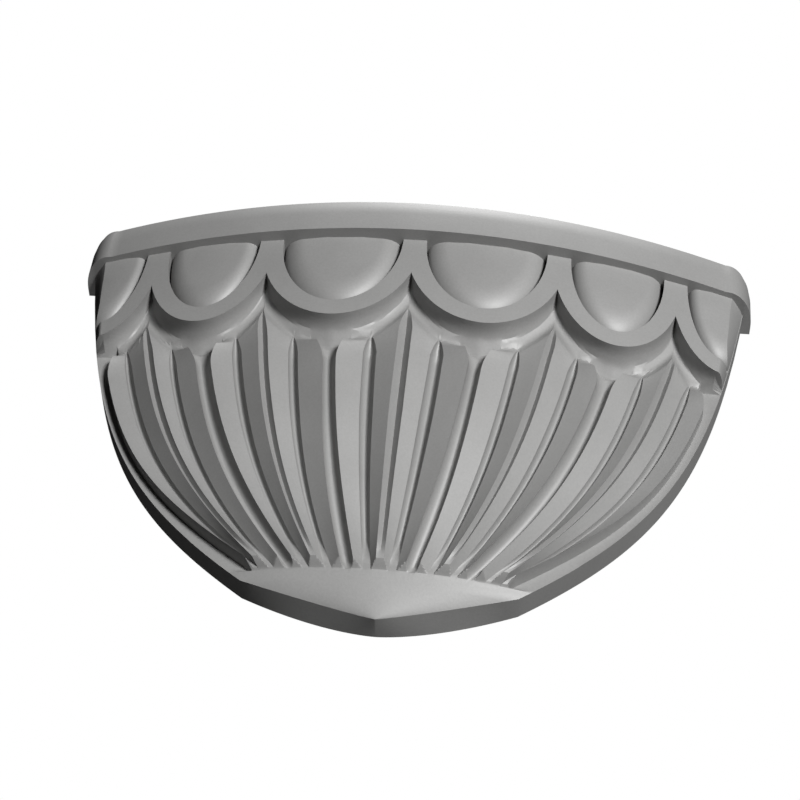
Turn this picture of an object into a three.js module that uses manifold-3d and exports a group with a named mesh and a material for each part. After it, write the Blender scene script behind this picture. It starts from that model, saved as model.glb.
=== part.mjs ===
import * as THREE from 'three';
import { mergeVertices } from 'three/addons/utils/BufferGeometryUtils.js';
import Module from 'manifold-3d';

// Half-round carved wall bracket, one casting. Millimetres, +Z up, +X along the wall.
// The wall is the plane Y = 0, the front is towards -Y, Z = 0 is the underside of the shelf plate.

// Shelf plate
const plateWidth = 330;
const plateThickness = 21.4;
const plateProjection = 56.9;
const plateBow = 29.3;
const plateCornerWidth = 14;
const plateCornerDepth = 22.5;
const plateFaceHeight = 11.5;
const plateMidRise = 17.2;
const plateMidInset = 0.7;
const plateTopInset = 2;
const plateEdgeRound = 0.4;

// Outline of the body against the wall
const bodyHalfWidth = 160.5;
const shoulderHalfWidth = 143.4;
const shoulderDrop = 105.7;
const flankHalfWidth = 119.2;
const flankDrop = 143.5;
const rimHalfWidth = 61;
const rimDrop = 185.5;
const bodyDrop = 201.8;
const slabThickness = 12.5;
const chinPoint = 1.65;
const chinFrontPoint = 1.12;
const chinFullness = 0.85;

// Scalloped collar below the plate
const collarProjection = 50.2;
const collarBow = 27.2;
const collarEndInset = 7.3;
const collarHalfWidth = bodyHalfWidth - collarEndInset;
const collarEndLean = 7;
const collarCornerTop = 1.7;
const collarCornerFoot = 1;
const collarBack = 6;
const collarHeelInset = 0.25;
const collarReach = 52.5;
const pillarShare = 0.4543;
const outerPillarShare = 0.3708;
const pillarSpacing = collarHalfWidth * pillarShare;
const outerPillarSpacing = collarHalfWidth * outerPillarShare;
const endBayInset = 4.2;
const pillarWidth = 11.4;
const openingDrop = 43;
const cuspDrop = 22.8;
const openingDepth = 10;

// Cove under the scallops' edge, then the spandrels between the scallops and the leaves
const coveStart = 3.3;
const coveSteepReach = 0.35;
const coveSteepDepth = 6;
const coveReach = 1.2;
const coveDepth = 8.6;
const coveFall = 2.4;
const spandrelDepth = 7;
const spandrelLean = 0.23;
const spandrelFall = 0.17;
const spandrelFootLean = 0.8;
const spandrelFootDrop = 53;
const spandrelReach = 4;
const leafHead = 6;

// Eggs in the collar's openings
const eggGap = 0.7;
const eggProud = 0.7;
const eggShoulder = 0.62;
const eggRoundDepth = 7.5;

// Leaves. A line of the carving runs from a share of the half width at the leaves' top to one at the
// foot, with a power that says how late it turns.
const leafCrestTop = 43;
const leafCrestFoot = 25.3;
const leafCrestCurve = 2.1;
const leafEndTop = 17;
const leafEndFoot = 18.5;
const leafFullDrop = 47;
const leafFootDrop = 178;
const leafRimDrop = 181.6;
const leafCentreReach = 40;
const rimProjection = 21;
const foldDepth = 4.2;
const middleLine = { top: 0, foot: 0, power: 1 };
const middleEdge = { top: 0.214, foot: 0.166, power: 2 };
const innerNear = { top: 0.258, foot: 0.25, power: 1 };
const innerLine = { top: 0.451, foot: 0.412, power: 1.6 };
const innerFar = { top: 0.625, foot: 0.55, power: 2 };
const outerNear = { top: 0.674, foot: 0.635, power: 2 };
const outerLine = { top: 0.826, foot: 0.775, power: 2 };
const outerFar = { top: 0.97, foot: 0.84, power: 5 };

// Veins, flutes and valleys
const middleVeinHalfWidth = 3.15;
const innerVeinHalfWidth = 2.3;
const outerVeinHalfWidth = 2.2;
const veinSlope = 1.42;
const veinStart = 7;
const middleFluteHalfWidth = 3.1;
const innerFluteHalfWidth = 2.3;
const outerFluteHalfWidth = 1.8;
const fluteSlope = 1.75;
const fluteCentre = 0.5;
const fluteStart = 8;
const grooveHead = 8.5;
const veinHeadShare = 0.15;
const fluteHeadShare = 0.2;
const grooveFootShare = 0.56;
const grooveFullRun = 0.42;
const grooveFootFade = 14;
const valleyDepth = 7;
const valleyFootDepth = 4.8;
const valleyFlare = 6.5;
const valleyFlareDrop = 56;
const valleyFlareReach = 18;

const archSteps = 12;
const cornerSteps = 5;
const plateFrontSteps = 24;
const collarFrontSteps = 22;
const collarRows = 10;
const leafRows = 10;
const grooveCorner = 0.82;
const sideColumn = 0.05;
const edgeSearchSteps = 12;
const smallest = 1e-6;
const edgeOffsets = [-1, 0, 0.6, 1.8, 4, 7.5];
const capRows = 4;
const eggRings = 4;
const embed = 1.5;

const wasm = await Module();
wasm.setup();

const clamp = (value, low, high) => Math.min(high, Math.max(low, value));
const ease = (value) => { const t = clamp(value, 0, 1); return t * t * (3 - 2 * t); };
const mix = (a, b, t) => a + (b - a) * t;

// Stacks rings of equal length into one closed solid. A ring runs anticlockwise in its own
// first two coordinates, and the third one grows from ring to ring.
function stackRings(rings, place) {
  const count = rings[0].length;
  const faces = [];
  for (let i = 0; i + 1 < rings.length; i++) {
    for (let j = 0; j < count; j++) {
      const a = i * count + j;
      const b = i * count + (j + 1) % count;
      faces.push([a, b, b + count], [a, b + count, a + count]);
    }
  }
  const cap = (ring, offset, upward) => {
    const flat = ring.map(([u, v]) => new THREE.Vector2(u, v));
    THREE.ShapeUtils.triangulateShape(flat, []).forEach(([a, b, c]) => {
      const left = THREE.ShapeUtils.area([flat[a], flat[b], flat[c]]) > 0;
      const face = left === upward ? [a, b, c] : [a, c, b];
      faces.push(face.map((corner) => corner + offset));
    });
  };
  cap(rings[0], 0, false);
  cap(rings[rings.length - 1], (rings.length - 1) * count, true);
  const points = rings.flat().map(place);
  const soup = new Float32Array(faces.flat().flatMap((corner) => points[corner]));
  let geometry = new THREE.BufferGeometry();
  geometry.setAttribute('position', new THREE.BufferAttribute(soup, 3));
  geometry = mergeVertices(geometry, 1e-3);
  const kept = [];
  for (let i = 0; i < geometry.index.count; i += 3) {
    const [a, b, c] = [0, 1, 2].map((corner) => geometry.index.getX(i + corner));
    if (a !== b && b !== c && c !== a) kept.push(a, b, c);
  }
  return new wasm.Manifold(new wasm.Mesh({
    numProp: 3,
    vertProperties: new Float32Array(geometry.attributes.position.array),
    triVerts: new Uint32Array(kept),
  }));
}

const levels = (rings) => stackRings(rings, (point) => point);
const forward = (rings) => stackRings(rings, ([x, z, front]) => [x, -front, z]);

// Half width of the body against the wall at a height below the plate.
const flank = new THREE.CubicBezierCurve(
  new THREE.Vector2(bodyHalfWidth, 0),
  new THREE.Vector2(shoulderHalfWidth, shoulderDrop),
  new THREE.Vector2(flankHalfWidth, flankDrop),
  new THREE.Vector2(rimHalfWidth, rimDrop),
);
const chinDrop = bodyDrop - rimDrop;
function halfWidthAt(drop) {
  if (drop <= 0) return bodyHalfWidth;
  if (drop >= rimDrop) return rimHalfWidth * Math.max(0, (bodyDrop - drop) / chinDrop) ** (1 / chinPoint);
  let low = 0;
  let high = 1;
  for (let step = 0; step < 40; step++) {
    const middle = (low + high) / 2;
    if (flank.getPoint(middle).y < drop) low = middle; else high = middle;
  }
  return flank.getPoint((low + high) / 2).x;
}

// Half width of the slab's front edge, more pointed at the chin than its edge at the wall.
function frontHalfWidthAt(drop) {
  if (drop < rimDrop) return halfWidthAt(drop);
  return rimHalfWidth * Math.max(0, (bodyDrop - drop) / chinDrop) ** (1 / chinFrontPoint);
}

// Front of the collar, measured from the wall.
const collarFront = (x) => collarProjection - collarBow * (x / collarHalfWidth) ** 2;

// The bays of the collar's right half: their centres and half pitches.
const endBayCentre = collarHalfWidth - endBayInset;
const bays = [
  { centre: pillarSpacing / 2, half: pillarSpacing / 2 },
  { centre: pillarSpacing + outerPillarSpacing / 2, half: outerPillarSpacing / 2 },
  { centre: endBayCentre, half: endBayCentre - pillarSpacing - outerPillarSpacing },
];
const allBays = bays.flatMap((bay) => [{ ...bay, centre: -bay.centre }, bay]);
const cuspReach = Math.sqrt(1 - (cuspDrop / collarReach) ** 2);

// How far a point lies outside the nearest scallop of the collar, negative inside.
function outsideScallop(x, drop) {
  return Math.min(...allBays.map((bay) => {
    const across = bay.half / cuspReach;
    const u = (x - bay.centre) / across;
    const v = drop / collarReach;
    const reach = Math.max(Math.hypot(u, v), smallest);
    return (reach - 1) * reach / Math.max(Math.hypot(u / across, v / collarReach), smallest);
  }));
}

// How far below the plate the scalloped edge runs.
function scallopEdge(x) {
  return Math.max(...allBays.map((bay) => {
    const inside = 1 - ((x - bay.centre) * cuspReach / bay.half) ** 2;
    return collarReach * Math.sqrt(Math.max(inside, 0));
  }));
}

const runAt = (drop) => clamp((drop - leafFullDrop) / (leafFootDrop - leafFullDrop), 0, 1);
const shareAt = (line, drop) => mix(line.top, line.foot, runAt(drop) ** line.power);
const leafHalfAt = (drop) => halfWidthAt(Math.min(drop, leafRimDrop));

// How far a groove has opened at its upper end, and how much narrower it is towards its foot.
const headAt = (x, drop, start) => Math.sqrt(clamp((outsideScallop(x, drop) - start) / grooveHead, 0, 1));
function taperAt(drop) {
  const past = clamp((runAt(drop) - grooveFullRun) / (1 - grooveFullRun), 0, 1);
  return mix(1, grooveFootShare, past);
}

// Edge of a leaf, drawn in towards its vein below the scallops.
function leafEdge(line, inward, drop) {
  const near = clamp(1 - (drop - valleyFlareDrop) / valleyFlareReach, 0, 1);
  return shareAt(line, drop) + inward * valleyFlare * near ** 2 / leafHalfAt(drop);
}

const leaves = [
  { cusp: 0, line: middleLine, near: null, far: middleEdge,
    vein: middleVeinHalfWidth, flute: middleFluteHalfWidth },
  { cusp: pillarSpacing, line: innerLine, near: innerNear, far: innerFar,
    vein: innerVeinHalfWidth, flute: innerFluteHalfWidth },
  { cusp: pillarSpacing + outerPillarSpacing, line: outerLine, near: outerNear, far: outerFar,
    vein: outerVeinHalfWidth, flute: outerFluteHalfWidth },
];

function leafCentre(leaf, drop) {
  const top = leaf.cusp / leafHalfAt(drop);
  return mix(top, shareAt(leaf.line, drop), ease((drop - cuspDrop) / leafCentreReach));
}

// Columns of the right half of the body. Each one gives its share of the half width, how deep the
// fold is there, and how deep a groove is cut, at a drop below the plate.
function leafColumn(leaf, edgeLine, inward, stretch, place) {
  return (drop) => {
    const half = leafHalfAt(drop);
    const centre = leafCentre(leaf, drop);
    const edge = leafEdge(edgeLine, inward, drop);
    const width = Math.abs(edge - centre) * half;
    const foot = ease((leafFootDrop - drop) / grooveFootFade);
    const taper = taperAt(drop);
    const veinHead = headAt(centre * half, drop, veinStart);
    const vein = leaf.vein * taper * Math.max(veinHead, veinHeadShare) / width;
    const full = Math.abs(shareAt(edgeLine, drop) - centre) * half;
    const middle = fluteCentre * full / width;
    const fluteHead = headAt(mix(centre, edge, middle) * half, drop, fluteStart);
    const flute = leaf.flute * taper * Math.max(fluteHead, fluteHeadShare) / width;
    const across = (at) => mix(centre, edge, at);
    if (stretch === 'vein') return [across(0), 0, veinSlope * leaf.vein * taper * veinHead * foot];
    if (stretch === 'inner') return [across(vein), 0, 0];
    if (stretch === 'flute') {
      const cut = fluteSlope * leaf.flute * taper * fluteHead * foot;
      return [across(middle + flute * place), foldDepth, cut * Math.sqrt(1 - place ** 2)];
    }
    return [edge, 0, 0];
  };
}

const flutePlaces = [-1, -grooveCorner, 0, grooveCorner, 1];
const valleyPlaces = [-grooveCorner, 0, grooveCorner];
const columns = [];
leaves.forEach((leaf, index) => {
  if (leaf.near !== null) {
    columns.push(leafColumn(leaf, leaf.near, 1, 'edge', 0));
    flutePlaces.slice().reverse().forEach((place) => {
      columns.push(leafColumn(leaf, leaf.near, 1, 'flute', place));
    });
    columns.push(leafColumn(leaf, leaf.near, 1, 'inner', 0));
  }
  columns.push(leafColumn(leaf, leaf.far, -1, 'vein', 0));
  columns.push(leafColumn(leaf, leaf.far, -1, 'inner', 0));
  flutePlaces.forEach((place) => columns.push(leafColumn(leaf, leaf.far, -1, 'flute', place)));
  columns.push(leafColumn(leaf, leaf.far, -1, 'edge', 0));
  const following = leaves[index + 1];
  if (following === undefined) return;
  valleyPlaces.forEach((place) => columns.push((drop) => {
    const from = leafEdge(leaf.far, -1, drop);
    const to = leafEdge(following.near, 1, drop);
    const deep = mix(valleyDepth, valleyFootDepth, runAt(drop));
    return [mix(from, to, (1 + place) / 2), 0, deep * Math.sqrt(1 - place ** 2)];
  }));
});
columns.push((drop) => [mix(leafEdge(outerFar, -1, drop), 1, sideColumn), 0, leafCrestTop * 2]);
columns.push(() => [1, 0, leafCrestTop * 2]);

// Front of the carved body at a share of its half width, measured from the wall.
function bodyFront(share, fold, groove, drop) {
  const across = 1 - share ** 2;
  const rim = mix(slabThickness, rimProjection, across);
  if (drop >= leafRimDrop) {
    const left = clamp((bodyDrop - drop) / (bodyDrop - leafRimDrop), 0, 1);
    return mix(slabThickness, rim, left ** chinFullness);
  }
  const x = share * halfWidthAt(drop);
  const gap = outsideScallop(x, drop);
  const run = runAt(drop);
  const middle = mix(leafCrestTop, leafCrestFoot, run ** leafCrestCurve);
  const end = mix(leafEndTop, leafEndFoot, run ** 4);
  const away = Math.min(...leaves.map((leaf) => Math.abs(Math.abs(x) - leaf.cusp)));
  const spandrel = collarFront(x) - spandrelDepth - spandrelLean * (drop - cuspDrop)
    + spandrelFall * away - spandrelFootLean * Math.max(0, drop - spandrelFootDrop);
  const risen = mix(spandrel, mix(end, middle, across) - fold, ease((gap - spandrelReach) / leafHead));
  const beside = groove < leafCrestTop ? Math.min(risen, spandrel) : 0;
  const leaf = Math.max(risen - groove, beside);
  if (drop > leafFootDrop) {
    const blunt = mix(mix(end, middle, across), rim, (drop - leafFootDrop) / (leafRimDrop - leafFootDrop));
    return Math.max(slabThickness, Math.min(leaf, blunt));
  }
  if (drop > leafFootDrop - grooveFootFade) return Math.max(slabThickness, leaf);
  if (share > 1 - smallest) return slabThickness;
  if (gap < -coveReach / 2) return Math.max(slabThickness, collarFront(x) - openingDepth);
  let behind = mix(coveStart, coveSteepDepth, clamp(gap / coveSteepReach, 0, 1));
  if (gap > coveSteepReach) {
    behind = coveSteepDepth + (coveDepth - coveSteepDepth) * (gap - coveSteepReach)
      / (coveReach - coveSteepReach) + coveFall * Math.max(0, gap - coveReach);
  }
  const cove = collarFront(x) - behind;
  return Math.max(slabThickness, leaf, cove);
}

// Rows of the body follow the scalloped edge at its top and are level at its foot.
const edgeDrops = columns.map((column) => {
  let edge = collarReach;
  for (let step = 0; step < edgeSearchSteps; step++) {
    edge = mix(edge, scallopEdge(column(edge)[0] * halfWidthAt(edge)), 0.5);
  }
  return edge;
});
const level = (drop) => columns.map(() => drop);
const leafStopDrop = leafFootDrop - grooveFootFade;
const lastOffset = edgeOffsets[edgeOffsets.length - 1];
const bodyDrops = [
  level(0),
  ...edgeOffsets.map((offset) => edgeDrops.map((edge) => edge + offset)),
  ...Array.from({ length: leafRows }, (_, i) => (
    edgeDrops.map((edge) => mix(edge + lastOffset, leafStopDrop, (i + 1) / leafRows)))),
  level((leafStopDrop + leafFootDrop) / 2),
  level(leafFootDrop),
  level((leafFootDrop + leafRimDrop) / 2),
  level(leafRimDrop),
  level(rimDrop),
  ...Array.from({ length: capRows }, (_, i) => (
    level(bodyDrop - chinDrop * (1 - (i + 1) / (capRows + 1)) ** 2))),
];
const bodyRings = bodyDrops.map((drops) => {
  const lowest = drops[drops.length - 1];
  const even = drops[0] === lowest ? ease((lowest - leafRimDrop) / (rimDrop - leafRimDrop) / 3) : 0;
  const right = columns.map((column, i) => {
    const drop = drops[i];
    const [place, fold, groove] = column(drop);
    const share = mix(place, i / (columns.length - 1), even);
    return [share * frontHalfWidthAt(drop), -bodyFront(share, fold, groove, drop), -drop];
  });
  const left = right.slice(1).reverse().map(([x, y, z]) => [-x, y, z]);
  const wall = halfWidthAt(lowest);
  return [...left, ...right, [wall, 0, -lowest], [-wall, 0, -lowest]];
});
const collarDrops = Array.from({ length: collarRows + 1 }, (_, i) => collarReach * i / collarRows);
const topRing = (ring) => ring.map(([x, y]) => [x, y, embed]);
const chinRing = bodyRings[0].map(([, y]) => [0, y < 0 ? -slabThickness : 0, -bodyDrop]);
const body = levels([topRing(bodyRings[0]), ...bodyRings, chinRing].reverse());

// The collar before its openings are cut: the bowed front with rounded ends running into the slab.
function collarRing(drop, proud) {
  const half = halfWidthAt(drop) - collarHeelInset;
  const heel = slabThickness - collarHeelInset;
  const endX = collarHalfWidth - collarEndLean * (drop / collarReach);
  const endFront = collarFront(endX) + proud;
  const right = [];
  for (let i = 0; i <= collarFrontSteps / 2; i++) {
    const x = endX * i / (collarFrontSteps / 2);
    right.push([x, -collarFront(x) - proud]);
  }
  const roundness = mix(collarCornerTop, collarCornerFoot, drop / collarReach);
  for (let i = 1; i <= cornerSteps; i++) {
    const turn = Math.PI / 2 * i / cornerSteps;
    right.push([
      mix(endX, half, Math.sin(turn) ** roundness),
      -mix(heel, endFront, Math.cos(turn) ** roundness),
    ]);
  }
  right.push([half - collarBack, -collarBack]);
  const left = right.slice(1).reverse().map(([x, y]) => [-x, y]);
  return [...left, ...right].map(([x, y]) => [x, y, -drop]);
}
function collarBlock(proud) {
  const rings = [...collarDrops, collarReach + embed].map((drop) => collarRing(drop, proud));
  return levels([topRing(rings[0]), ...rings].reverse());
}

// A half ellipse hanging from the plate, anticlockwise seen from the front.
function archOutline(centre, across, reach, lift) {
  const points = [[centre + across, lift]];
  points.push([centre - across, lift]);
  for (let i = 0; i <= 2 * archSteps; i++) {
    const turn = Math.PI * i / (2 * archSteps);
    points.push([centre - across * Math.cos(turn), -reach * Math.sin(turn)]);
  }
  return points;
}

const frontAir = collarProjection + openingDepth;
function archBlock(centre, across, reach, back) {
  const outline = archOutline(centre, across, reach, 2 * embed);
  return forward([outline.map(([x, z]) => [x, z, back(x)]), outline.map(([x, z]) => [x, z, frontAir])]);
}

let scallops = null;
let openings = null;
let eggs = null;
const joined = (whole, more) => (whole === null ? more : whole.add(more));
for (const bay of allBays) {
  const across = bay.half / cuspReach;
  const clear = bay.half - pillarWidth / 2;
  scallops = joined(scallops, archBlock(bay.centre, across, collarReach, () => 0.5));
  openings = joined(openings, archBlock(bay.centre, clear, openingDrop, (x) => (
    Math.max(collarFront(x) - openingDepth, slabThickness + 1))));
  const ring = (share, depth) => (
    archOutline(bay.centre, clear * share, openingDrop * share, embed)
      .map(([x, z]) => [x, z, Math.max(collarFront(x), slabThickness + openingDepth) - depth]));
  const side = 1 - eggGap / clear;
  const rings = [ring(side, openingDepth + embed)];
  for (let i = 0; i <= eggRings; i++) {
    const turn = i / eggRings * Math.PI / 2;
    const share = mix(eggShoulder, side, Math.cos(turn));
    rings.push(ring(share, eggRoundDepth * (1 - Math.sin(turn))));
  }
  rings.push(ring(eggShoulder * 0.5, -eggProud));
  eggs = joined(eggs, forward(rings));
}
const collar = collarBlock(0).intersect(scallops).subtract(openings);
const eggParts = eggs.intersect(collarBlock(2 * eggProud));

// Shelf plate: bowed front, rounded corners, face upright below and leaning back above.
function plateRing(inset, z) {
  const straight = plateWidth / 2 - plateCornerWidth;
  const frontAt = (x) => plateProjection - plateBow * (x / straight) ** 2;
  const right = [];
  for (let i = 0; i <= plateFrontSteps / 2; i++) {
    const x = straight * i / (plateFrontSteps / 2);
    right.push([x, -frontAt(x) + inset]);
  }
  const heel = frontAt(straight) - plateCornerDepth;
  for (let i = 1; i <= cornerSteps; i++) {
    const turn = Math.PI / 2 * i / cornerSteps;
    right.push([
      straight + (plateCornerWidth - inset) * Math.sin(turn),
      -heel - (plateCornerDepth - inset) * Math.cos(turn),
    ]);
  }
  right.push([plateWidth / 2 - inset, 0]);
  const left = right.slice(1).reverse().map(([x, y]) => [-x, y]);
  return [...left, ...right].map(([x, y]) => [x, y, z]);
}
const plate = levels([
  plateRing(0, 0),
  plateRing(0, plateFaceHeight),
  plateRing(plateMidInset, plateMidRise),
  plateRing(plateTopInset, plateThickness - plateEdgeRound),
  plateRing(plateTopInset + plateEdgeRound, plateThickness),
]);

const bracket = plate.add(body).add(collar).add(eggParts);

function meshFrom(solid, name, color) {
  const shape = solid.getMesh();
  let geometry = new THREE.BufferGeometry();
  const points = new Float32Array(shape.numVert * 3);
  for (let i = 0; i < shape.numVert; i++) {
    for (let axis = 0; axis < 3; axis++) {
      points[i * 3 + axis] = shape.vertProperties[i * shape.numProp + axis];
    }
  }
  geometry.setAttribute('position', new THREE.BufferAttribute(points, 3));
  geometry.setIndex(Array.from(shape.triVerts));
  geometry = mergeVertices(geometry, 1e-3);
  geometry.computeVertexNormals();
  const mesh = new THREE.Mesh(geometry, new THREE.MeshStandardMaterial({ color, roughness: 0.6 }));
  mesh.name = name;
  return mesh;
}

const group = new THREE.Group();
group.name = 'carved_bracket';
group.add(meshFrom(bracket, 'carved_bracket', 0x8a8a88));

export default group;
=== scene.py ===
import math

import bmesh
import bpy
import numpy as np
from mathutils import Matrix


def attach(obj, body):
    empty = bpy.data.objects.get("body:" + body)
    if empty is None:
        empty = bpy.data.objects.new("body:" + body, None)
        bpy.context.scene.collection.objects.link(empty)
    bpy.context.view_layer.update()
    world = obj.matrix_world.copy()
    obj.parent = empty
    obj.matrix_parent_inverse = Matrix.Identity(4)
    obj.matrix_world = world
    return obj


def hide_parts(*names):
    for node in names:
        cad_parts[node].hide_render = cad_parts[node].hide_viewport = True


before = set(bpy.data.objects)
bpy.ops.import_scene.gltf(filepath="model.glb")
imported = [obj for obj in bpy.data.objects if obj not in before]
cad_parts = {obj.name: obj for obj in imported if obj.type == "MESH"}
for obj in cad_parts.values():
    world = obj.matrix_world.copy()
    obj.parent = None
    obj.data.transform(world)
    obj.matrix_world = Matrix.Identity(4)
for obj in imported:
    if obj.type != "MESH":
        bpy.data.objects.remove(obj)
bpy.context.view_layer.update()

# Half-round carved wall bracket in grey cast stone. Sizes are in millimetres until the mesh is made:
# X runs along the wall, the wall is Y = 0, the front is towards -Y, Z = 0 is the plate's underside.

MM = 0.001

# Shelf plate
PLATE_WIDTH = 330.0
PLATE_THICKNESS = 21.4
PLATE_PROJECTION = 56.9
PLATE_BOW = 29.3
PLATE_CORNER_WIDTH = 14.0
PLATE_CORNER_DEPTH = 22.5
PLATE_FACE_HEIGHT = 11.5
PLATE_MID_RISE = 17.2
PLATE_MID_INSET = 0.7
PLATE_TOP_INSET = 2.0
PLATE_EDGE_ROUND = 0.4

# Outline of the body against the wall
BODY_HALF = 160.5
SHOULDER_HALF = 143.4
SHOULDER_DROP = 105.7
FLANK_HALF = 119.2
FLANK_DROP = 143.5
RIM_HALF = 61.0
RIM_DROP = 185.5
BODY_DROP = 201.8
SLAB = 12.5
CHIN_POINT = 1.65
CHIN_FRONT_POINT = 1.12
CHIN_FULLNESS = 0.85

# Scalloped collar
COLLAR_PROJECTION = 50.2
COLLAR_BOW = 27.2
COLLAR_HALF = 153.2
COLLAR_END_LEAN = 7.0
COLLAR_CORNER_TOP = 1.7
COLLAR_CORNER_FOOT = 1.0
COLLAR_BACK = 6.0
COLLAR_HEEL_INSET = 0.25
COLLAR_REACH = 52.5
COLLAR_ROWS = 14
SCALLOP_BACK = 0.5
PILLAR_SPACING = 69.6
OUTER_PILLAR_SPACING = 56.8
END_BAY_CENTRE = 149.0
PILLAR_WIDTH = 11.4
OPENING_DROP = 43.0
CUSP_DROP = 22.8
OPENING_DEPTH = 10.0
OPENING_FLOOR = SLAB + 1

# Eggs
EGG_GAP = 0.7
EGG_PROUD = 0.7
EGG_SHOULDER = 0.62
EGG_ROUND = 7.5
EGG_CROWN_SHARE = 0.5

# Cove under a scallop's edge: distance outside the edge, depth behind the collar's front
COVE = np.array((
    (-0.6, 2.6), (0.0, 3.3), (0.35, 6.0), (1.2, 8.6), (2.4, 11.5), (5.0, 18.0), (40.0, 60.0)))
COVE_BLEND = 0.4

# Spandrels between the scallops and the leaves
SPANDREL_DEPTH = 7.0
SPANDREL_LEAN = 0.23
SPANDREL_FALL = 0.17
SPANDREL_FOOT_LEAN = 0.8
SPANDREL_FOOT_DROP = 53.0
SPANDREL_REACH = 4.0
LEAF_HEAD = 6.0

# Leaves. A line of the carving has its share of the half width at the leaves' top, the share at
# their foot, and a power that says how late it turns.
CREST_TOP = 43.0
CREST_FOOT = 25.3
END_TOP = 17.0
END_FOOT = 18.5
CREST_CURVE = 2.1
END_CURVE = 4.0
LEAF_TOP = 47.0
LEAF_FOOT = 178.0
LEAF_RIM = 181.6
LEAF_CENTRE_REACH = 40.0
RIM_BLEND = 4
RIM_PROJECTION = 21.0
FOLD = 4.2
MIDDLE_CENTRE = (0.0, 0.0, 1.0)
MIDDLE_EDGE = (0.214, 0.166, 2.0)
INNER_CENTRE = (0.451, 0.412, 1.6)
INNER_NEAR = (0.258, 0.25, 1.0)
INNER_FAR = (0.625, 0.55, 2.0)
OUTER_CENTRE = (0.826, 0.775, 2.0)
OUTER_NEAR = (0.674, 0.635, 2.0)
OUTER_FAR = (0.97, 0.84, 5.0)

# Veins, flutes and valleys
VEIN_HALF = {"middle": 3.15, "inner": 2.3, "outer": 2.2}
VEIN_SLOPE = 1.42
VEIN_START = 7.0
FLUTE_HALF = {"middle": 3.1, "inner": 2.3, "outer": 1.8}
FLUTE_SLOPE = 1.75
FLUTE_CENTRE = 0.5
FLUTE_START = 8.0
GROOVE_HEAD = 8.5
VEIN_HEAD_SHARE = 0.15
FLUTE_HEAD_SHARE = 0.2
GROOVE_FOOT_SHARE = 0.56
GROOVE_FULL_RUN = 0.42
GROOVE_FOOT_FADE = 14.0
VALLEY_DEPTH = (7.0, 4.8)
VALLEY_FLARE = 6.5
VALLEY_FLARE_DROP = 56.0
VALLEY_FLARE_REACH = 18.0

# How finely the mesh is divided
ARCH_STEPS = 44
FRONT_STEPS = 96
CORNER_STEPS = 14
BODY_ROWS = 84
FOOT_ROWS = 8
CAP_ROWS = 16
EGG_RINGS = 12
PLATE_EDGE_RINGS = 4
FLUTE_STEPS = 12
VALLEY_STEPS = 14
FLANK_STEPS = 2000
TOP_ROW_SHARES = (0.35, 0.7)
EDGE_OFFSETS = (-2.5, -0.6, 0.0, 0.2, 0.4, 0.8, 1.3, 2.0, 3.0, 4.2, 5.6, 7.2, 9.0)
EDGE_SEARCH_STEPS = 12
LEAF_PLACES = (0.03, 0.25, 0.5, 0.75, 0.97)
SIDE_PLACES = (0.0, 0.05, 0.3, 0.6, 1.0)
SIDE_STEP = 0.05
SIDE_CUT = 60.0
WALL_SHARE = 0.999
SMALLEST = 1e-6
EMBED = 1.5

# Stone, camera and lamps; the camera and the lamps are placed in metres
BUMP = 0.12
BUMP_HEIGHT = 0.0003
STONE_ROUGHNESS = 0.57
STONE_SHEEN = 1.0
CLOUD_TONES = ((0.3, (0.2, 0.199, 0.196, 1)), (0.7, (0.22, 0.219, 0.216, 1)))
GRAIN_TONES = ((0.25, (0.93, 0.93, 0.93, 1)), (0.7, (1.04, 1.04, 1.04, 1)))
SHARP_ANGLE = 20
FLOOR_DROP, FLOOR_HALF = 1.6, 6.0
FLOOR_COLOUR = (0.9, 0.9, 0.9, 1)
FLOOR_ROUGHNESS = 0.9
CAMERA_PLACE = (0.070616, -0.758002, -0.778008)
CAMERA_RIGHT = (0.9956941, 0.0084046, 0.0923179)
CAMERA_DOWN = (0.0610482, 0.6899788, -0.7212505)
CAMERA_FORWARD = (-0.0697592, 0.7237807, 0.6864948)
CAMERA_SENSOR, CAMERA_LENS = 36.0, 98.23
CAMERA_NEAR, CAMERA_FAR = 0.01, 50.0
LAMP_AIM = (0.0, -0.02, -0.09)
LAMP_DISTANCE, LAMP_SIZE, LAMP_SPREAD = 2.2, 0.5, 50
WHITE = (1.0, 1.0, 1.0, 1)
BACKDROP_STRENGTH, FILL_STRENGTH = 1.0, 0.01


def mix(a, b, t):
    return a + (b - a) * t


def ease(t):
    t = np.clip(t, 0.0, 1.0)
    return t * t * (3 - 2 * t)


def solid(name, rings):
    """A closed solid from rings of equal length, each a list of (x, y, z) in millimetres."""
    count = len(rings[0])
    mesh = bpy.data.meshes.new(name)
    verts = [tuple(np.asarray(point, float) * MM) for ring in rings for point in ring]
    faces = []
    for i in range(len(rings) - 1):
        for j in range(count):
            a, b = i * count + j, i * count + (j + 1) % count
            faces.append((a, b, b + count, a + count))
    faces.append(tuple(range(count))[::-1])
    faces.append(tuple((len(rings) - 1) * count + j for j in range(count)))
    mesh.from_pydata(verts, [], faces)
    work = bmesh.new()
    work.from_mesh(mesh)
    bmesh.ops.remove_doubles(work, verts=work.verts, dist=2e-7)
    bmesh.ops.dissolve_degenerate(work, edges=work.edges, dist=1e-7)
    bmesh.ops.triangulate(work, faces=work.faces)
    bmesh.ops.recalc_face_normals(work, faces=work.faces)
    work.to_mesh(mesh)
    work.free()
    piece = bpy.data.objects.new(name, mesh)
    bpy.context.scene.collection.objects.link(piece)
    return piece


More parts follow.
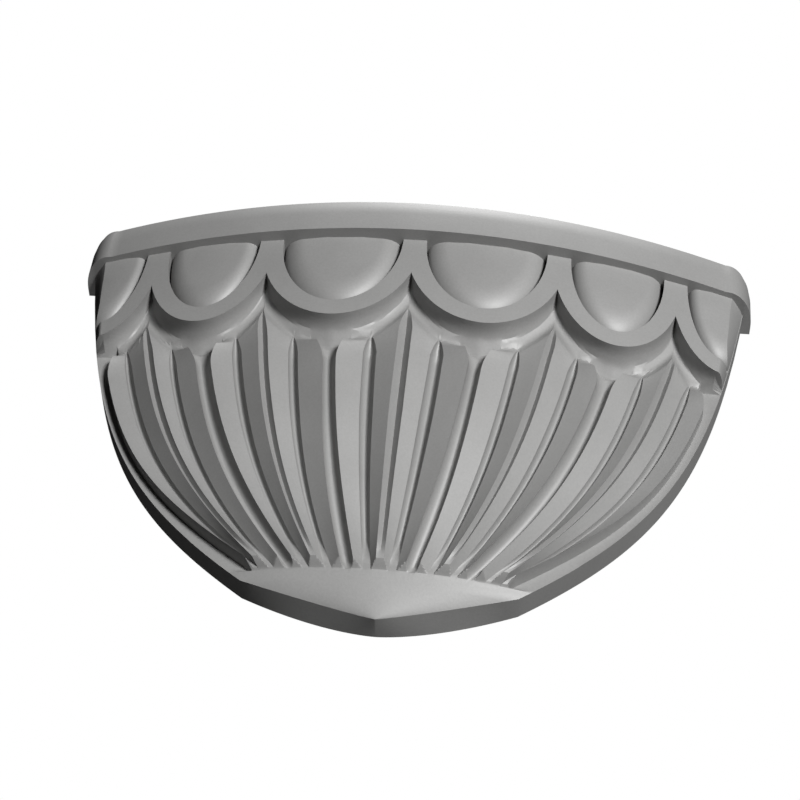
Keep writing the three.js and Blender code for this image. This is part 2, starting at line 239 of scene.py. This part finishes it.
def combine(first, second, operation):
    """first with second joined, cut away or kept in common; second is used up."""
    step = first.modifiers.new("combine", "BOOLEAN")
    step.operation = operation
    step.solver = "MANIFOLD"
    step.object = second
    bpy.context.view_layer.update()
    graph = bpy.context.evaluated_depsgraph_get()
    mesh = bpy.data.meshes.new_from_object(first.evaluated_get(graph))
    first.modifiers.clear()
    old = first.data
    first.data = mesh
    bpy.data.meshes.remove(old)
    bpy.data.meshes.remove(second.data)
    return first


def bezier(start, first, second, end):
    t = np.linspace(0, 1, FLANK_STEPS + 1)
    return ((1 - t) ** 3 * start + 3 * (1 - t) ** 2 * t * first
            + 3 * (1 - t) * t ** 2 * second + t ** 3 * end)


FLANK_X = bezier(BODY_HALF, SHOULDER_HALF, FLANK_HALF, RIM_HALF)
FLANK_Z = bezier(0.0, SHOULDER_DROP, FLANK_DROP, RIM_DROP)


def half_width(drop):
    """Half width of the body against the wall at a height below the plate."""
    drop = np.asarray(drop, float)
    upper = np.interp(drop, FLANK_Z, FLANK_X)
    left = np.clip((BODY_DROP - drop) / (BODY_DROP - RIM_DROP), 0, 1)
    return np.where(drop < RIM_DROP, upper, RIM_HALF * left ** (1 / CHIN_POINT))


def front_half_width(drop):
    """Half width of the slab's front edge, more pointed at the chin than the edge at the wall."""
    left = np.clip((BODY_DROP - drop) / (BODY_DROP - RIM_DROP), 0, 1)
    return np.where(drop < RIM_DROP, half_width(drop), RIM_HALF * left ** (1 / CHIN_FRONT_POINT))


def collar_front(x):
    return COLLAR_PROJECTION - COLLAR_BOW * (np.asarray(x) / COLLAR_HALF) ** 2


BAYS = [
    (PILLAR_SPACING / 2, PILLAR_SPACING / 2),
    (PILLAR_SPACING + OUTER_PILLAR_SPACING / 2, OUTER_PILLAR_SPACING / 2),
    (END_BAY_CENTRE, END_BAY_CENTRE - PILLAR_SPACING - OUTER_PILLAR_SPACING),
]
ALL_BAYS = [(side * centre, half) for centre, half in BAYS for side in (-1, 1)]
CUSP_REACH = math.sqrt(1 - (CUSP_DROP / COLLAR_REACH) ** 2)


def scallop_edge(x):
    """How far below the plate the scalloped edge runs."""
    drops = []
    for centre, half in ALL_BAYS:
        across = half / CUSP_REACH
        inside = np.clip(1 - ((x - centre) / across) ** 2, 0, 1)
        drops.append(COLLAR_REACH * np.sqrt(inside))
    return np.maximum.reduce(drops)


def outside_scallop(x, drop):
    """How far a point lies outside the nearest scallop, negative inside."""
    gaps = []
    for centre, half in ALL_BAYS:
        across = half / CUSP_REACH
        u, v = (x - centre) / across, drop / COLLAR_REACH
        reach = np.hypot(u, v)
        slope = np.hypot(u / across, v / COLLAR_REACH) / np.maximum(reach, SMALLEST)
        gaps.append((reach - 1) / np.maximum(slope, SMALLEST))
    return np.minimum.reduce(gaps)


def rounded_places(steps):
    """Places from 0 to 1, closer together near both ends."""
    return [0.5 - 0.5 * math.cos(math.pi * i / steps) for i in range(steps + 1)]


def half_leaf_columns():
    """Columns of half a leaf from its vein out to its edge, as (stretch, place along it)."""
    columns = [("vein", q) for q in (0.0, 0.5)]
    columns += [("inner", q) for q in (0.0,) + LEAF_PLACES]
    columns += [("flute", q) for q in rounded_places(FLUTE_STEPS)]
    columns += [("outer", q) for q in LEAF_PLACES]
    return columns


def run_at(drop):
    return np.clip((drop - LEAF_TOP) / (LEAF_FOOT - LEAF_TOP), 0, 1)


def share_at(line, drop):
    """Share of the half width at which a line of the carving runs."""
    top, low, power = line
    return mix(top, low, run_at(drop) ** power)


def head_at(x, drop, start):
    """How far a groove has opened at its upper end, 0 to 1."""
    return np.sqrt(np.clip((outside_scallop(x, drop) - start) / GROOVE_HEAD, 0, 1))


def groove_taper(drop):
    past = np.clip((run_at(drop) - GROOVE_FULL_RUN) / (1 - GROOVE_FULL_RUN), 0, 1)
    return mix(1.0, GROOVE_FOOT_SHARE, past)


def leaf_edge(line, inward, drop):
    """Edge of a leaf, drawn in towards its vein below the scallops."""
    near = np.clip(1 - (drop - VALLEY_FLARE_DROP) / VALLEY_FLARE_REACH, 0, 1)
    half = half_width(np.minimum(drop, LEAF_RIM))
    return share_at(line, drop) + inward * VALLEY_FLARE * near ** 2 / half


CUSPS = (0.0, PILLAR_SPACING, PILLAR_SPACING + OUTER_PILLAR_SPACING)
LEAVES = ("middle", "inner", "outer")
CENTRES = dict(zip(LEAVES, (MIDDLE_CENTRE, INNER_CENTRE, OUTER_CENTRE)))
EDGES = dict(zip(LEAVES, ((None, MIDDLE_EDGE), (INNER_NEAR, INNER_FAR), (OUTER_NEAR, OUTER_FAR))))


def leaf_centre(leaf, drop):
    """Share of the half width of a leaf's vein, which starts from a cusp of the collar."""
    top = CUSPS[LEAVES.index(leaf)] / half_width(np.minimum(drop, LEAF_RIM))
    return mix(top, share_at(CENTRES[leaf], drop), ease((drop - CUSP_DROP) / LEAF_CENTRE_REACH))


def half_leaf(leaf, column, centre, line, inward, drop):
    """Share, fold and groove depth of a column between a leaf's vein and its edge."""
    stretch, q = column
    half = half_width(np.minimum(drop, LEAF_RIM))
    edge = leaf_edge(line, inward, drop)
    width = np.abs(edge - centre) * half
    foot = ease((LEAF_FOOT - drop) / GROOVE_FOOT_FADE)
    taper = groove_taper(drop)
    head = head_at(centre * half, drop, VEIN_START)
    vein_half = VEIN_HALF[leaf] * taper * np.maximum(head, VEIN_HEAD_SHARE)
    vein_cut = VEIN_SLOPE * VEIN_HALF[leaf] * taper * head * foot
    middle = FLUTE_CENTRE * np.abs(share_at(line, drop) - centre) * half / width
    flute_head = head_at(mix(centre, edge, middle) * half, drop, FLUTE_START)
    flute_half = FLUTE_HALF[leaf] * taper * np.maximum(flute_head, FLUTE_HEAD_SHARE)
    flute_cut = FLUTE_SLOPE * FLUTE_HALF[leaf] * taper * flute_head * foot
    vein = vein_half / width
    first, last = middle - flute_half / width, middle + flute_half / width
    if stretch == "vein":
        place, fold, groove = vein * q, 0.0, vein_cut * (1 - q)
    elif stretch == "inner":
        place, fold, groove = mix(vein, first, q), FOLD * q, 0.0 * drop
    elif stretch == "flute":
        place, fold = mix(first, last, q), FOLD
        groove = flute_cut * math.sqrt(max(0.0, 1 - (2 * q - 1) ** 2))
    else:
        place, fold, groove = mix(last, 1.0, q), FOLD * (1 - q), 0.0 * drop
    return mix(centre, edge, place), fold, groove


def body_columns():
    """Columns of the right half of the body, each with what column_at needs to place it."""
    half_columns = half_leaf_columns()
    columns = []
    for leaf, following in zip(LEAVES, LEAVES[1:] + (None,)):
        near, far = EDGES[leaf]
        if near is not None:
            columns += [("leaf", leaf, (near, 1), column) for column in reversed(half_columns[1:])]
        columns += [("leaf", leaf, (far, -1), column) for column in half_columns]
        if following:
            beyond = EDGES[following][0]
            columns += [("valley", far, beyond, place) for place in rounded_places(VALLEY_STEPS)]
    columns += [("side", None, OUTER_FAR, place) for place in SIDE_PLACES]
    return columns


COLUMNS = body_columns()


def column_at(column, drop):
    """Share of the half width, fold and groove depth of a column at a drop below the plate."""
    kind, first, second, rest = column
    if kind == "leaf":
        return half_leaf(first, rest, leaf_centre(first, drop), *second, drop)
    if kind == "valley":
        near, far = leaf_edge(first, -1, drop), leaf_edge(second, 1, drop)
        deep = mix(*VALLEY_DEPTH, run_at(drop))
        return mix(near, far, rest), 0.0, deep * math.sqrt(max(0.0, 1 - (2 * rest - 1) ** 2))
    near = leaf_edge(second, -1, drop)
    return mix(near, 1.0, rest), 0.0, SIDE_CUT * min(rest, SIDE_STEP) / SIDE_STEP


def leaf_front(share, fold, drop):
    """Front of the leaves before their grooves are cut, measured from the wall."""
    across = 1 - share ** 2
    run = run_at(drop)
    middle = mix(CREST_TOP, CREST_FOOT, run ** CREST_CURVE)
    end = mix(END_TOP, END_FOOT, run ** END_CURVE)
    return mix(end, middle, across) - fold


def spandrel_front(x, drop):
    """Front of the faces between the scallops and the leaves, hollow below each cusp."""
    away = np.abs(np.abs(x)[:, None] - np.array(CUSPS)[None, :]).min(axis=1)
    depth = SPANDREL_DEPTH + SPANDREL_LEAN * (drop - CUSP_DROP) - SPANDREL_FALL * away
    return collar_front(x) - depth - SPANDREL_FOOT_LEAN * np.maximum(0, drop - SPANDREL_FOOT_DROP)


def body_front(share, fold, groove, drop):
    """Front of the carved body down to the rim, measured from the wall."""
    x = share * half_width(drop)
    gap = outside_scallop(x, drop)
    spandrel = spandrel_front(x, drop)
    rise = ease((gap - SPANDREL_REACH) / LEAF_HEAD)
    risen = mix(spandrel, leaf_front(share, fold, drop), rise)
    beside = np.where(groove < CREST_TOP, np.minimum(risen, spandrel), SLAB)
    leaf = np.maximum(np.maximum(risen - groove, beside), SLAB)
    rim = mix(SLAB, RIM_PROJECTION, 1 - share ** 2)
    past = np.clip((drop - LEAF_FOOT) / (LEAF_RIM - LEAF_FOOT), 0, 1)
    blunt = mix(leaf_front(share, 0.0, np.minimum(drop, LEAF_FOOT)), rim, past)
    leaf = np.where(drop > LEAF_FOOT, np.minimum(leaf, blunt), leaf)
    leaf = mix(leaf, rim, past ** RIM_BLEND)
    inside = gap < COVE[0, 0]
    behind = np.where(inside, OPENING_DEPTH, np.interp(gap, COVE[:, 0], COVE[:, 1]))
    cove = np.where(share > WALL_SHARE, SLAB, collar_front(x) - behind)
    front = 0.5 * (leaf + cove + np.sqrt((leaf - cove) ** 2 + COVE_BLEND ** 2))
    front = np.where(inside, cove, front)
    front = np.where(drop > LEAF_FOOT - GROOVE_FOOT_FADE, leaf, front)
    return np.maximum(front, SLAB)


def body_rows():
    """Drops of the body's rows at each column: along the scalloped edge above, level below."""
    count = len(COLUMNS)
    edge = np.full(count, COLLAR_REACH)
    for _ in range(EDGE_SEARCH_STEPS):
        share = np.array([float(column_at(c, e)[0]) for c, e in zip(COLUMNS, edge)])
        edge = mix(edge, scallop_edge(share * half_width(edge)), 0.5)
    start = edge + EDGE_OFFSETS[-1]
    stop = LEAF_FOOT - GROOVE_FOOT_FADE

    def steps(first, last, rows):
        return [mix(first, last, (i + 1) / rows) for i in range(rows)]
    drops = [np.zeros(count)]
    drops += [edge * share for share in TOP_ROW_SHARES]
    drops += [edge + offset for offset in EDGE_OFFSETS]
    drops += steps(start, stop, BODY_ROWS)
    level = steps(stop, LEAF_FOOT, FOOT_ROWS) + steps(LEAF_FOOT, LEAF_RIM, FOOT_ROWS)
    level += steps(LEAF_RIM, RIM_DROP, 2)
    left = [1 - step for step in steps(0.0, 1.0, CAP_ROWS + 1)[:-1]]
    level += [BODY_DROP - (BODY_DROP - RIM_DROP) * share ** 2 for share in left]
    return drops + [np.full(count, drop) for drop in level]


def top_ring(ring):
    """A ring lifted into the shelf plate, so that the two solids join."""
    return [(x, y, EMBED) for x, y, _ in ring]


def body_solid():
    count = len(COLUMNS)
    rings = []
    for drop in body_rows():
        half = front_half_width(drop)
        places = [[float(v) for v in column_at(c, d)] for c, d in zip(COLUMNS, drop)]
        share, fold, groove = np.array(places).T
        below_rim = drop.min() > LEAF_RIM - SMALLEST
        if below_rim:
            even = float(ease((drop[0] - LEAF_RIM) / (RIM_DROP - LEAF_RIM) / 3))
            share = mix(share, np.arange(count) / (count - 1), even)
            rim = mix(SLAB, RIM_PROJECTION, 1 - share ** 2)
            left = np.clip((BODY_DROP - drop) / (BODY_DROP - LEAF_RIM), 0, 1)
            front = mix(SLAB, rim, left ** CHIN_FULLNESS)
        else:
            front = body_front(share, fold, groove, drop)
        x = share * half
        right = list(zip(x, -front, -drop))
        ring = [(-p[0], p[1], p[2]) for p in right[:0:-1]] + right
        wall = float(half_width(drop[-1]))
        ring += [(wall, 0.0, -drop[-1]), (-wall, 0.0, -drop[-1])]
        rings.append(ring)
    rings.insert(0, top_ring(rings[0]))
    rings.append([(0.0, -SLAB if y < 0 else 0.0, -BODY_DROP) for _, y, _ in rings[0]])
    return solid("body", rings)


def collar_ring(drop, proud):
    half = float(half_width(drop)) - COLLAR_HEEL_INSET
    heel = SLAB - COLLAR_HEEL_INSET
    end_x = COLLAR_HALF - COLLAR_END_LEAN * drop / COLLAR_REACH
    end_front = float(collar_front(end_x)) + proud
    right = [(x, -float(collar_front(x)) - proud) for x in np.linspace(0, end_x, FRONT_STEPS // 2 + 1)]
    power = mix(COLLAR_CORNER_TOP, COLLAR_CORNER_FOOT, drop / COLLAR_REACH)
    for i in range(1, CORNER_STEPS + 1):
        turn = math.pi / 2 * i / CORNER_STEPS
        cos = max(0.0, math.cos(turn))
        right.append((mix(end_x, half, math.sin(turn) ** power), -mix(heel, end_front, cos ** power)))
    right.append((half - COLLAR_BACK, -COLLAR_BACK))
    ring = [(-x, y) for x, y in right[:0:-1]] + right
    return [(x, y, -drop) for x, y in ring]


def collar_block(name, proud):
    drops = list(np.linspace(0, COLLAR_REACH, COLLAR_ROWS + 1)) + [COLLAR_REACH + EMBED]
    rings = [collar_ring(d, proud) for d in drops]
    return solid(name, [top_ring(rings[0])] + rings)


def arch_outline(centre, across, reach, lift):
    points = [(centre + across, lift), (centre - across, lift)]
    for i in range(2 * ARCH_STEPS + 1):
        turn = math.pi * i / (2 * ARCH_STEPS)
        points.append((centre - across * math.cos(turn), -reach * math.sin(turn)))
    return points


def arch_block(name, centre, across, reach, back):
    outline = arch_outline(centre, across, reach, 2 * EMBED)
    air = COLLAR_PROJECTION + OPENING_DEPTH
    return solid(name, [[(x, -back(x), z) for x, z in outline], [(x, -air, z) for x, z in outline]])


def egg_solid(centre, clear):
    def ring(share, depth):
        outline = arch_outline(centre, clear * share, OPENING_DROP * share, EMBED)
        return [(x, -(max(float(collar_front(x)), SLAB + OPENING_DEPTH) - depth), z) for x, z in outline]
    side = 1 - EGG_GAP / clear
    rings = [ring(side, OPENING_DEPTH + EMBED)]
    for i in range(EGG_RINGS + 1):
        turn = i / EGG_RINGS * math.pi / 2
        rings.append(ring(mix(EGG_SHOULDER, side, math.cos(turn)), EGG_ROUND * (1 - math.sin(turn))))
    rings.append(ring(EGG_SHOULDER * EGG_CROWN_SHARE, -EGG_PROUD))
    return solid("egg", rings)


def collar_solid():
    collar = collar_block("collar", 0)
    scallops = openings = eggs = None
    for centre, half in ALL_BAYS:
        clear = half - PILLAR_WIDTH / 2
        scallop = arch_block(
            "scallop", centre, half / CUSP_REACH, COLLAR_REACH, lambda x: SCALLOP_BACK)
        opening = arch_block("opening", centre, clear, OPENING_DROP, lambda x: (
            max(float(collar_front(x)) - OPENING_DEPTH, OPENING_FLOOR)))
        egg = egg_solid(centre, clear)
        scallops = scallop if scallops is None else combine(scallops, scallop, "UNION")
        openings = opening if openings is None else combine(openings, opening, "UNION")
        eggs = egg if eggs is None else combine(eggs, egg, "UNION")
    collar = combine(collar, scallops, "INTERSECT")
    collar = combine(collar, openings, "DIFFERENCE")
    eggs = combine(eggs, collar_block("room", 2 * EGG_PROUD), "INTERSECT")
    return collar, eggs


def plate_ring(inset, z):
    straight = PLATE_WIDTH / 2 - PLATE_CORNER_WIDTH

    def front_at(x):
        return PLATE_PROJECTION - PLATE_BOW * (x / straight) ** 2
    right = [(x, -front_at(x) + inset) for x in np.linspace(0, straight, FRONT_STEPS // 2 + 1)]
    heel = front_at(straight) - PLATE_CORNER_DEPTH
    for i in range(1, CORNER_STEPS + 1):
        turn = math.pi / 2 * i / CORNER_STEPS
        right.append((straight + (PLATE_CORNER_WIDTH - inset) * math.sin(turn),
                      -heel - (PLATE_CORNER_DEPTH - inset) * math.cos(turn)))
    right.append((PLATE_WIDTH / 2 - inset, 0.0))
    ring = [(-x, y) for x, y in right[:0:-1]] + right
    return [(x, y, z) for x, y in ring]


def plate_solid():
    rings = [
        plate_ring(0, 0),
        plate_ring(0, PLATE_FACE_HEIGHT),
        plate_ring(PLATE_MID_INSET, PLATE_MID_RISE),
        plate_ring(PLATE_TOP_INSET, PLATE_THICKNESS - PLATE_EDGE_ROUND),
    ]
    for i in range(1, PLATE_EDGE_RINGS + 1):
        turn = math.pi / 2 * i / PLATE_EDGE_RINGS
        rings.append(plate_ring(PLATE_TOP_INSET + PLATE_EDGE_ROUND * (1 - math.cos(turn)),
                                PLATE_THICKNESS - PLATE_EDGE_ROUND * (1 - math.sin(turn))))
    return solid("plate", rings)


def stone_material():
    material = bpy.data.materials.new("grey cast stone")
    material.use_nodes = True
    nodes, links = material.node_tree.nodes, material.node_tree.links
    nodes.clear()
    output = nodes.new("ShaderNodeOutputMaterial")
    shader = nodes.new("ShaderNodeBsdfPrincipled")
    links.new(shader.outputs["BSDF"], output.inputs["Surface"])
    shader.inputs["Roughness"].default_value = STONE_ROUGHNESS
    shader.inputs["Specular IOR Level"].default_value = STONE_SHEEN
    place = nodes.new("ShaderNodeTexCoord")

    def noise(scale, detail, rough):
        node = nodes.new("ShaderNodeTexNoise")
        node.inputs["Scale"].default_value = scale
        node.inputs["Detail"].default_value = detail
        node.inputs["Roughness"].default_value = rough
        links.new(place.outputs["Object"], node.inputs["Vector"])
        return node

    def ramp(source, tones):
        node = nodes.new("ShaderNodeValToRGB")
        for element, (position, colour) in zip(node.color_ramp.elements, tones):
            element.position = position
            element.color = colour
        links.new(source.outputs["Fac"], node.inputs["Fac"])
        return node
    cloud = noise(28.0, 4.0, 0.55)
    grain = noise(900.0, 3.0, 0.6)
    tone = ramp(cloud, CLOUD_TONES)
    speck = ramp(grain, GRAIN_TONES)
    both = nodes.new("ShaderNodeMix")
    both.data_type = "RGBA"
    both.blend_type = "MULTIPLY"
    both.inputs["Factor"].default_value = 1.0
    links.new(tone.outputs["Color"], both.inputs["A"])
    links.new(speck.outputs["Color"], both.inputs["B"])
    links.new(both.outputs["Result"], shader.inputs["Base Color"])
    bump = nodes.new("ShaderNodeBump")
    bump.inputs["Strength"].default_value = BUMP
    bump.inputs["Distance"].default_value = BUMP_HEIGHT
    links.new(grain.outputs["Fac"], bump.inputs["Height"])
    links.new(bump.outputs["Normal"], shader.inputs["Normal"])
    return material


def build_bracket():
    piece = body_solid()
    collar, eggs = collar_solid()
    for part in (collar, eggs, plate_solid()):
        piece = combine(piece, part, "UNION")
    piece.name = "carved_bracket_stone"
    mesh = piece.data
    mesh.name = "carved_bracket_stone"
    for polygon in mesh.polygons:
        polygon.use_smooth = True
    mesh.set_sharp_from_angle(angle=math.radians(SHARP_ANGLE))
    mesh.materials.clear()
    mesh.materials.append(stone_material())
    return piece


bracket = build_bracket()
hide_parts("carved_bracket")
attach(bracket, "root")

floor_mesh = bpy.data.meshes.new("floor")
floor_mesh.from_pydata(
    [(x * FLOOR_HALF, y * FLOOR_HALF, -FLOOR_DROP) for x, y in ((-1, -1), (1, -1), (1, 1), (-1, 1))],
    [], [(0, 1, 2, 3)])
floor = bpy.data.objects.new("floor", floor_mesh)
bpy.context.scene.collection.objects.link(floor)
pale = bpy.data.materials.new("pale floor")
pale.use_nodes = True
pale.node_tree.nodes["Principled BSDF"].inputs["Base Color"].default_value = FLOOR_COLOUR
pale.node_tree.nodes["Principled BSDF"].inputs["Roughness"].default_value = FLOOR_ROUGHNESS
floor_mesh.materials.append(pale)

lens = bpy.data.cameras.new("camera")
lens.sensor_width = CAMERA_SENSOR
lens.lens = CAMERA_LENS
lens.clip_start = CAMERA_NEAR
lens.clip_end = CAMERA_FAR
camera = bpy.data.objects.new("camera", lens)
bpy.context.scene.collection.objects.link(camera)
CAMERA_UP, CAMERA_BACK = [tuple(-v for v in way) for way in (CAMERA_DOWN, CAMERA_FORWARD)]
turn = Matrix((CAMERA_RIGHT, CAMERA_UP, CAMERA_BACK)).transposed()
camera.matrix_world = Matrix.Translation(CAMERA_PLACE) @ turn.to_4x4()
bpy.context.scene.camera = camera


def lamp(name, direction, power):
    """A square lamp that shines along the direction given at the middle of the bracket."""
    forward = np.array(direction, float) / np.linalg.norm(direction)
    data = bpy.data.lights.new(name, "AREA")
    data.size = LAMP_SIZE
    data.energy = power
    data.spread = math.radians(LAMP_SPREAD)
    thing = bpy.data.objects.new(name, data)
    bpy.context.scene.collection.objects.link(thing)
    side = np.cross(forward, (0, 0, 1.0))
    side /= np.linalg.norm(side)
    up = np.cross(side, forward)
    place = np.array(LAMP_AIM) - forward * LAMP_DISTANCE
    turn = Matrix((tuple(side), tuple(up), tuple(-forward))).transposed()
    thing.matrix_world = Matrix.Translation(tuple(place)) @ turn.to_4x4()


lamp("key", (-0.4623, 0.8695, 0.1736), 6.4)
lamp("back", (0.0, -1.0, 0.0), 4.0)
lamp("top", (0.0, 0.05, -1.0), 2.5)

world = bpy.data.worlds.new("studio")
world.use_nodes = True
bpy.context.scene.world = world
sky = world.node_tree
seen = sky.nodes.new("ShaderNodeLightPath")
backdrop = sky.nodes.new("ShaderNodeBackground")
backdrop.inputs["Color"].default_value = WHITE
backdrop.inputs["Strength"].default_value = BACKDROP_STRENGTH
choose = sky.nodes.new("ShaderNodeMixShader")
sky.nodes["Background"].inputs["Color"].default_value = WHITE
sky.nodes["Background"].inputs["Strength"].default_value = FILL_STRENGTH
sky.links.new(seen.outputs["Is Camera Ray"], choose.inputs[0])
sky.links.new(sky.nodes["Background"].outputs[0], choose.inputs[1])
sky.links.new(backdrop.outputs[0], choose.inputs[2])
sky.links.new(choose.outputs[0], sky.nodes["World Output"].inputs["Surface"])
bpy.context.scene.view_settings.view_transform = "Standard"

bpy.context.view_layer.update()
